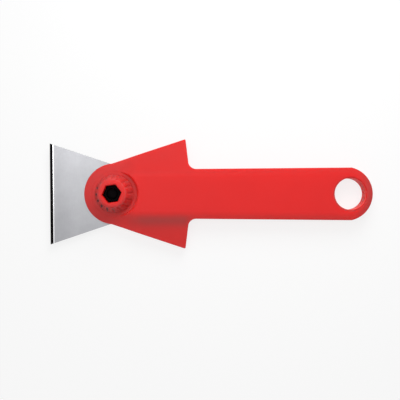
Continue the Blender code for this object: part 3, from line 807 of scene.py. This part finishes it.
cross_half_width = 0.00036
cross_reach = 0.00150
cross_depth = 0.00080
cross_wall = 0.0001
screw_head_height = 0.0015
screw_dome = 0.0006
screw_radius = 0.0013
screw_thread_depth = 0.00035
screw_pitch = 0.0011
screw_tip_length = 0.0010
screw_tip_radius = 0.0004


def cross_recess(x, y):
    """Depth of the cross: two crossed bars with sloping walls, deepest where they meet."""
    def bar(across, along):
        wall = np.clip((cross_half_width + cross_wall - np.abs(across)) / cross_wall, 0, 1)
        fall = np.clip((cross_reach - np.abs(along)) / (0.6 * cross_reach), 0, 1)
        return wall * fall
    return cross_depth * np.maximum(bar(x, y), bar(y, x))


for node in ("grip_screw_front", "grip_screw_rear"):
    low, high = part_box(node)
    centre = ((low.x + high.x) / 2, 0)
    screw_head_radius = (high.x - low.x) / 2
    head_top_z = low.z + screw_head_height
    turns = np.linspace(0, math.tau, 161)
    crown = np.linspace(0, 1, 46)
    face_radius = screw_head_radius * crown
    dome = screw_dome * (1 - np.sqrt(np.maximum(1 - crown**4, 0)))
    x = face_radius * np.cos(turns)[:, None]
    y = face_radius * np.sin(turns)[:, None]
    face_z = low.z + dome + cross_recess(x, y)
    shank_z = np.linspace(head_top_z, high.z - screw_tip_length, 60)
    shank = thread_radius(shank_z, turns, screw_radius, screw_thread_depth, screw_pitch)
    ring = np.ones((len(turns), 1))
    radius = np.column_stack((
        ring * face_radius, ring * screw_head_radius, shank, ring * screw_tip_radius, ring * 0
    ))
    z = np.column_stack((face_z, ring * head_top_z, ring * shank_z, ring * high.z, ring * high.z))
    screw = turned_piece(node + "_threaded", radius, z, turns, centre)
    screw.data.materials.append(zinc_plate(node + "_zinc"))
    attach(screw, "handle")
    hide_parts(node)


# Thrust washer: the flat washer that the knob presses on. Stamped steel, zinc-plated, caught in the knob's
# underside and hidden by it. Its solid from the frame is kept.

thrust_washer = frame["nodes"]["thrust_washer"]
thrust_washer.data.materials.clear()
thrust_washer.data.materials.append(zinc_plate("washer_zinc"))


# Clamp knob: a tall fluted cone of red plastic, moulded with a hexagon pocket for the nut in its top
# and a round recess for the washer underneath. It stands in the spine's pocket and turns on the bolt. Its
# flank carries painted shade with a pale painted sheen, and its flutes a painted shadow, darkest on the
# side away from the light.

knob_base_radius = (knob_high.x - knob_low.x) / 2
knob_top_radius = 0.0064
knob_shoulder = 0.0005
soft_inset = 0.0010
soft_share = 0.17
knob_rim_height = 0.0010
flute_count = 16
flute_radius = 0.0008
flute_depth = 0.0004
flute_low_depth = 0.0002
flute_shares = (0, 0.45, 0.80, 0.98)
flute_turn = math.radians(2.4)
# Painted shadow in the flutes, darkest about this angle on the side away from the light, and painted shade on
# the flank, in a pale colour that also paints a sheen.
shaded_side_angle = math.radians(207)
shaded_side_spread = math.radians(62)
flute_shade_base = 0.73
flute_shadow_most = 0.77
flute_shadow_reach = 1.4
flank_shade_by_height = (0.76, 0.75, 0.63, 0.70, 0.58)
flank_shade_and_sheen = (0.43, 0.090, 0.087, 1)
pocket_across_flats = 0.0082
pocket_floor_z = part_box("knob_nut")[0].z - clearance
pocket_lip = 0.00025
washer_recess_radius = 0.0063
washer_recess_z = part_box("thrust_washer")[1].z + clearance
hex_turn = math.radians(8)


def hexagon_radius(angles, across_flats):
    """Distance from the centre to a hexagon's side: half the flats over the cosine from the side's middle."""
    from_corner = (angles - hex_turn) % (math.pi / 3)
    return across_flats / 2 / np.cos(from_corner - math.pi / 6)


corner_angles = hex_turn + np.arange(6) * math.pi / 3
knob_turns = np.sort(np.concatenate((np.linspace(0, math.tau, 416, endpoint=False), corner_angles)))
knob_turns = np.append(knob_turns, knob_turns[0] + math.tau)
pocket = hexagon_radius(knob_turns, pocket_across_flats)
shoulder_r = knob_top_radius + knob_shoulder
shoulder_z = knob_high.z - knob_shoulder
foot_z = knob_low.z + knob_rim_height
flank = np.array((knob_base_radius - shoulder_r, foot_z - shoulder_z))
flank_normal = np.array((-flank[1], flank[0])) / np.linalg.norm(flank)
soft = np.linspace(0, 1, 16)
soft_from = np.array((knob_top_radius - soft_inset, knob_high.z))
soft_mid = np.array((shoulder_r + knob_shoulder * flank[0] / flank[1], knob_high.z))
soft_to = np.array((shoulder_r, shoulder_z)) + soft_share * flank
soft_edge = ((1 - soft)**2)[:, None] * soft_from + (2 * soft * (1 - soft))[:, None] * soft_mid
soft_edge = soft_edge + (soft**2)[:, None] * soft_to
flank_share = np.linspace(soft_share, 1, 34)[1:, None]
outer = np.concatenate((
    soft_edge,
    np.array((shoulder_r, shoulder_z)) + flank_share * flank,
    ((knob_base_radius, knob_low.z + knob_rim_height / 2), (knob_base_radius, knob_low.z + clearance)),
    ((knob_base_radius - clearance, knob_low.z),),
))
outer_r = outer[:, 0]
outer_z = outer[:, 1]
flute_step = math.tau / flute_count
to_flute = np.abs((knob_turns - flute_turn + flute_step / 2) % flute_step - flute_step / 2)
off_axis = np.minimum(to_flute[:, None] * outer_r, flute_radius)
up_flank = (outer_z - knob_low.z) / (shoulder_z - knob_low.z)
deepened = np.interp(up_flank, flute_shares, (flute_low_depth, flute_depth, flute_depth, 0))
cut = np.sqrt(flute_radius**2 - off_axis**2) - (flute_radius - deepened)
past_flank = (outer_r - shoulder_r) * flank_normal[0] + (outer_z - shoulder_z) * flank_normal[1]
fluted = outer_r - np.where(cut > 0, np.maximum(past_flank + cut, 0), 0) / flank_normal[0]
ring = np.ones((len(knob_turns), 1))
knob_radius = np.column_stack((
    pocket, pocket + pocket_lip, fluted, ring * washer_recess_radius, ring * washer_recess_radius,
    ring * bolt_bore_radius, ring * bolt_bore_radius, pocket, pocket,
))
knob_z = np.concatenate((
    (knob_high.z - pocket_lip, knob_high.z), outer_z,
    (knob_low.z, washer_recess_z, washer_recess_z, pocket_floor_z, pocket_floor_z, knob_high.z - pocket_lip),
))
# Painted shade on the flank by height, deepened in the flutes to a painted shadow on the side away from the
# light.
flank_shading = np.interp(up_flank, (0, 0.5, flute_shares[2], 1, 1.03), flank_shade_by_height)
shaded_side = np.exp(-(((knob_turns - shaded_side_angle + math.pi) % math.tau - math.pi) / shaded_side_spread) ** 4)
in_flute = np.clip(flute_shadow_reach * cut / flute_depth, 0, 1)
flute_shadow = (flute_shade_base + flute_shadow_most * shaded_side)[:, None] * in_flute
flute_shading = -np.maximum(flute_shadow, flank_shading)
knob_shading = np.column_stack((ring * (-0.5, 0), flute_shading, ring * np.zeros(6)))
knob = turned_piece("fluted_knob", knob_radius, knob_z, knob_turns, (pivot_x, 0), knob_shading)
knob.data.materials.append(red_plastic("knob_plastic", flank_shade_and_sheen))
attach(knob, "knob")
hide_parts("clamp_knob")


# Knob nut: the hexagon nut pressed into the knob's pocket, so that turning the knob runs it along the bolt.
# Steel with a black oxide finish, chamfered on both faces and tapped right through.

nut_low, nut_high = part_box("knob_nut")
nut_across_flats = 0.0077
nut_chamfer = math.radians(30)
nut_face_share = 0.485
nut_mouth_radius = 0.0029
tap_radius = 0.00258
tap_depth = 0.0002
tap_inset = 0.0003
nut_turns = np.sort(np.concatenate((np.linspace(0, math.tau, 144, endpoint=False), corner_angles)))
nut_turns = np.append(nut_turns, nut_turns[0] + math.tau)
hexagon = hexagon_radius(nut_turns, nut_across_flats)
face_circle = nut_face_share * nut_across_flats
chamfer_drop = np.maximum(hexagon - face_circle, 0) * math.tan(nut_chamfer)
tap_z = np.linspace(nut_high.z - tap_inset, nut_low.z + tap_inset, 50)
tap = tap_radius - thread_radius(tap_z, nut_turns, 0, tap_depth, thread_pitch)
ring = np.ones((len(nut_turns), 1))
mouth = ring * nut_mouth_radius
share = np.linspace(0, 1, 4)
rim = np.minimum(hexagon, face_circle)[:, None]
nut_radius = np.column_stack((
    mouth, rim, rim + (hexagon[:, None] - rim) * share[1:], hexagon, rim, mouth, tap[:, ::-1], mouth
))
nut_z = np.column_stack((
    ring * nut_high.z, ring * nut_high.z, nut_high.z - chamfer_drop[:, None] * share[1:],
    nut_low.z + chamfer_drop, ring * nut_low.z, ring * nut_low.z, ring * tap_z[::-1], ring * nut_high.z,
))
nut = turned_piece("tapped_nut", nut_radius, nut_z, nut_turns, (pivot_x, 0))
nut.data.materials.append(dark_oxide("nut_black_oxide"))
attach(nut, "knob")
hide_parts("knob_nut")


# Studio: a white floor that takes the knife's soft shadow, a small soft lamp close by on the +Y side, a
# broad one overhead, a weak one for the sheen of the steel, and a camera that looks straight down from a
# hand's reach.

floor_half = 1.5
floor_mesh = bpy.data.meshes.new("floor")
floor_points = np.array(((-1, -1, 0), (1, -1, 0), (1, 1, 0), (-1, 1, 0))) * floor_half
floor_mesh.from_pydata(floor_points.tolist(), [], [(0, 1, 2, 3)])
floor = bpy.data.objects.new("floor", floor_mesh)
bpy.context.scene.collection.objects.link(floor)
floor_paint, tree, shader, place = new_material("floor_white")
speck = add_node(tree, "ShaderNodeTexNoise", {"Vector": place, "Scale": 300})
tone = mixed(tree, speck.outputs["Fac"], (0.95, 0.95, 0.95, 1), (0.97, 0.97, 0.97, 1))
tree.links.new(tone, shader.inputs["Base Color"])
shader.inputs["Roughness"].default_value = 0.9
shader.inputs["Specular IOR Level"].default_value = 0.1
floor_mesh.materials.append(floor_paint)


def seen_directly(tree):
    """1 for a ray from the camera, a mirror or glass, and 0 for one that only carries light."""
    ray = add_node(tree, "ShaderNodeLightPath").outputs
    seen = ray["Is Camera Ray"]
    for kind in ("Is Glossy Ray", "Is Transmission Ray"):
        seen = add_node(tree, "ShaderNodeMath", {0: seen, 1: ray[kind]}, operation="MAXIMUM").outputs["Value"]
    return seen


paper_glow = 0.80
glow = add_node(tree, "ShaderNodeEmission", {"Color": (1, 1, 1, 1), "Strength": 1.0})
lit = add_node(tree, "ShaderNodeMixShader", {
    0: spread(tree, seen_directly(tree), 0, paper_glow),
    1: shader.outputs["BSDF"],
    2: glow.outputs["Emission"],
})
tree.links.new(lit.outputs["Shader"], tree.nodes["Material Output"].inputs["Surface"])


def soft_lamp(name, place, size, power):
    """A square area lamp that faces the knife."""
    lamp = bpy.data.lights.new(name, "AREA")
    lamp.size = size
    lamp.energy = power
    made = bpy.data.objects.new(name, lamp)
    made.location = place
    made.rotation_euler = (-made.location).to_track_quat("-Z", "Y").to_euler()
    bpy.context.scene.collection.objects.link(made)
    return made


for name, place, size, power in (
    ("key_lamp", (0.035, 0.17, 0.17), 0.16, 0.400),
    ("overhead_lamp", (0, 0, 0.9), 0.40, 1.25),
):
    lamp = soft_lamp(name, place, size, power)
    lamp.visible_glossy = False
    lamp.visible_camera = False
soft_lamp("blade_lamp", (-0.25, 0.19, 0.75), 0.25, 0.65)

world = bpy.data.worlds.new("white_room")
world.use_nodes = True
bpy.context.scene.world = world
tree = world.node_tree
background = tree.nodes["Background"]
background.inputs["Color"].default_value = (1, 1, 1, 1)
room_light = 0.27
strength = spread(tree, seen_directly(tree), room_light, 1.0)
tree.links.new(strength, background.inputs["Strength"])

camera_height = 0.305
focal_pixels = 606
image_pixels = 400
lens = bpy.data.cameras.new("view_from_above")
lens.sensor_width = 36
lens.lens = lens.sensor_width * focal_pixels / image_pixels
lens.clip_start = 0.01
camera = bpy.data.objects.new("view_from_above", lens)
camera.location = (-0.00505, -0.0030, camera_height)
bpy.context.scene.collection.objects.link(camera)
bpy.context.scene.camera = camera
bpy.context.scene.view_settings.view_transform = "Standard"
